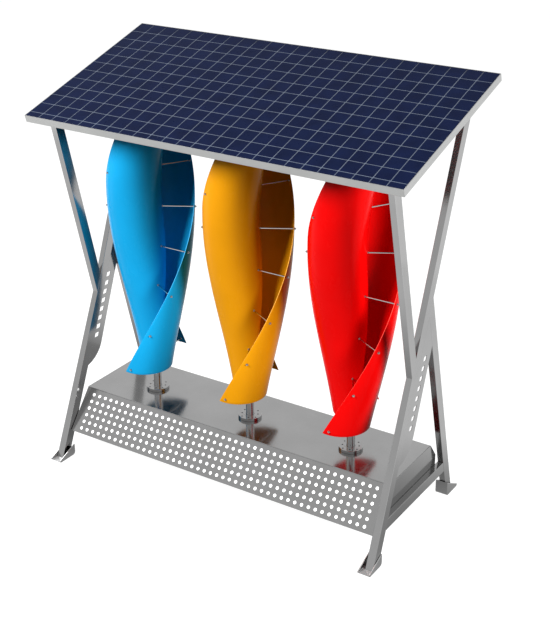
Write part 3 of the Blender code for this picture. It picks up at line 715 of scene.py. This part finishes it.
def build_rotors(mats):
    for side, k in SIDES:
        x = k * ROTOR_PITCH
        body = "rotor_" + side
        for letter, turn in (("a", 0.0), ("b", math.pi)):
            name = "rotor_%s_blade_%s_skin" % (side, letter)
            # the rims get the second, lighter paint: painted highlight along the blade edges
            finishes = [mats["blade_" + side], mats["edge_" + side]]
            blade = place(name, blade_mesh(name, x, turn), finishes, body,
                          ["rotor_%s_blade_%s" % (side, letter)])
            thick = blade.modifiers.new("sheet", "SOLIDIFY")
            thick.thickness = BLADE_SHEET
            thick.offset = 0.0
            thick.material_offset_rim = 1
            add_bevel(blade, 0.0007, 2, 50.0)

        shaft_low, shaft_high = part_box("rotor_%s_spindle" % side)
        bm = bmesh.new()
        low = shaft_low.z
        high = shaft_high.z
        narrow = SHAFT_RADIUS - TURNED_EDGE
        lathe(bm, [(0.0, low), (narrow, low), (SHAFT_RADIUS, low + TURNED_EDGE),
                   (SHAFT_RADIUS, high - TURNED_EDGE), (narrow, high), (0.0, high)],
              48, (x, ROTOR_Y, 0.0))
        name = "rotor_%s_shaft" % side
        place(name, finish_mesh(bm, name), mats["polished"], body,
              ["rotor_%s_spindle" % side])

        rods = bmesh.new()
        nuts = bmesh.new()
        for n in range(ROD_COUNT):
            z = ROTOR_LOW + ROD_FIRST + ROD_PITCH * n
            heading = tip_angle(z) + ROD_LEAD
            unit = Vector((math.cos(heading), math.sin(heading), 0.0))
            centre = Vector((x, ROTOR_Y, z))
            reach = ROD_TIP + ROD_END
            rod_rings = [(0.0, -reach), (ROD_RADIUS, -reach), (ROD_RADIUS, reach), (0.0, reach)]
            lathe(rods, rod_rings, 14, centre, along(unit))
            for sign in (-1.0, 1.0):
                out = unit * sign
                fixing(nuts, centre + out * (ROD_TIP + WASHER_BACK - TIP_SINK), out, True)
                fixing(nuts, centre + out * (ROD_TIP - WASHER_BACK), -out, False)
                fixing(nuts, centre + out * (ROD_WAIST + WASHER_BACK - WAIST_SINK), out, False)
        name = "rotor_%s_tie_rods" % side
        place(name, finish_mesh(rods, name), mats["rod"], body)
        name = "rotor_%s_fixings" % side
        place(name, finish_mesh(nuts, name, 25.0), mats["fixing"], body)


# ---------------------------------------------------------------- stage, lights and camera
def glowing(name, colour, roughness):
    """Matt material that gives off white light but isn't sampled as a lamp."""
    mat, shader = principled(name, colour, roughness, 0.0)
    shader.inputs["Specular IOR Level"].default_value = 0.0
    shader.inputs["Emission Color"].default_value = (1.0, 1.0, 1.0, 1.0)
    mat.cycles.emission_sampling = "NONE"
    return mat, shader


def flat_square(name, mat, half, height):
    """A square of the stage round the origin; diffuse light doesn't see it."""
    bm = bmesh.new()
    bmesh.ops.create_grid(bm, x_segments=4, y_segments=4, size=half)
    bmesh.ops.translate(bm, vec=(0.0, 0.0, height), verts=bm.verts)
    mesh = bpy.data.meshes.new(name)
    bm.to_mesh(mesh)
    bm.free()
    square = add_object(name, mesh)
    square.data.materials.append(mat)
    square.visible_diffuse = False
    return square


def build_stage():
    mat, shader = glowing("floor", (0.20, 0.20, 0.20), 0.90)
    shader.inputs["Emission Strength"].default_value = FLOOR_GLOW
    floor = flat_square("floor", mat, FLOOR_HALF, FLOOR_HEIGHT)
    build_ground_shade()


def build_ground_shade():
    """Thin sheet on the floor that only reflections see: dark under the unit, white beyond it."""
    mat, shader = glowing("ground_shade", (0.0, 0.0, 0.0), 1.0)
    nodes = mat.node_tree.nodes
    links = mat.node_tree.links
    coords = nodes.new("ShaderNodeTexCoord")
    mapping = nodes.new("ShaderNodeMapping")
    mapping.inputs["Scale"].default_value = (1.0, 1.0 / SHADE_DEPTH, 1.0)
    reach = nodes.new("ShaderNodeVectorMath")
    reach.operation = "LENGTH"
    links.new(coords.outputs["Object"], mapping.inputs["Vector"])
    links.new(mapping.outputs["Vector"], reach.inputs[0])
    glow = spread(mat, reach.outputs["Value"], SHADE_DARK, FLOOR_GLOW, SHADE_START, SHADE_END)
    links.new(glow, shader.inputs["Emission Strength"])
    sheet = flat_square("ground_shade", mat, SHADE_HALF, SHADE_HEIGHT)
    sheet.visible_camera = False
    sheet.visible_shadow = False


def area_light(name, location, target, size, power):
    data = bpy.data.lights.new(name, "AREA")
    data.shape = "RECTANGLE"
    data.size, data.size_y = size
    data.energy = power
    light = add_object(name, data)
    light.location = location
    aim = Vector(target) - Vector(location)
    light.rotation_euler = aim.to_track_quat("-Z", "Y").to_euler()
    return light


def build_light():
    """White studio: reflections see a bright room, bare colour is lit mostly by two large lamps."""
    world = bpy.data.worlds.new("studio")
    bpy.context.scene.world = world
    world.use_nodes = True
    world.cycles.sampling_method = "NONE"
    nodes = world.node_tree.nodes
    links = world.node_tree.links
    room = nodes["Background"]
    room.inputs["Color"].default_value = (1.0, 1.0, 1.0, 1.0)
    coords = nodes.new("ShaderNodeTexCoord")
    split = nodes.new("ShaderNodeSeparateXYZ")
    links.new(coords.outputs["Generated"], split.inputs["Vector"])
    ceiling = spread(world, split.outputs["Z"], ROOM_LOW, ROOM_HIGH, *CEILING_BAND)
    front = spread(world, split.outputs["Y"], ROOM_FRONT, 1.0, *FRONT_BAND)
    toward = nodes.new("ShaderNodeVectorMath")
    toward.operation = "DOT_PRODUCT"
    toward.inputs[1].default_value = Vector(STRIP_DIRECTION).normalized()
    links.new(coords.outputs["Generated"], toward.inputs[0])
    strip = spread(world, toward.outputs["Value"], 0.0, STRIP_STRENGTH,
                   math.cos(STRIP_EDGE), math.cos(STRIP_CORE))
    shaded = combined(world, "MULTIPLY", ceiling, front)
    links.new(combined(world, "ADD", shaded, strip), room.inputs["Strength"])
    soft = nodes.new("ShaderNodeBackground")
    soft.inputs["Color"].default_value = (1.0, 1.0, 1.0, 1.0)
    soft.inputs["Strength"].default_value = SOFT_FILL
    path = nodes.new("ShaderNodeLightPath")
    mix = nodes.new("ShaderNodeMixShader")
    links.new(path.outputs["Is Diffuse Ray"], mix.inputs["Fac"])
    links.new(room.outputs["Background"], mix.inputs[1])
    links.new(soft.outputs["Background"], mix.inputs[2])
    links.new(mix.outputs["Shader"], nodes["World Output"].inputs["Surface"])

    for name, location, size, power in LAMPS:
        lamp = area_light(name, location, LAMP_TARGET, size, power)
        lamp.visible_glossy = False
    view = bpy.context.scene.view_settings
    view.view_transform = "Standard"
    view.look = "None"


def build_camera():
    data = bpy.data.cameras.new("camera")
    data.lens = CAMERA_LENS
    data.sensor_width = 36.0
    data.shift_y = CAMERA_SHIFT
    data.clip_end = 200.0
    camera = add_object("camera", data)
    camera.location = CAMERA_PLACE
    camera.rotation_euler = (CAMERA_PITCH, 0.0, CAMERA_TURN)
    bpy.context.scene.camera = camera


# ---------------------------------------------------------------- whole scene
build_camera()
build_light()
build_stage()
materials = make_materials()
build_panel(materials)
build_end_frames(materials)
build_base(materials)
build_bearings(materials)
build_rotors(materials)
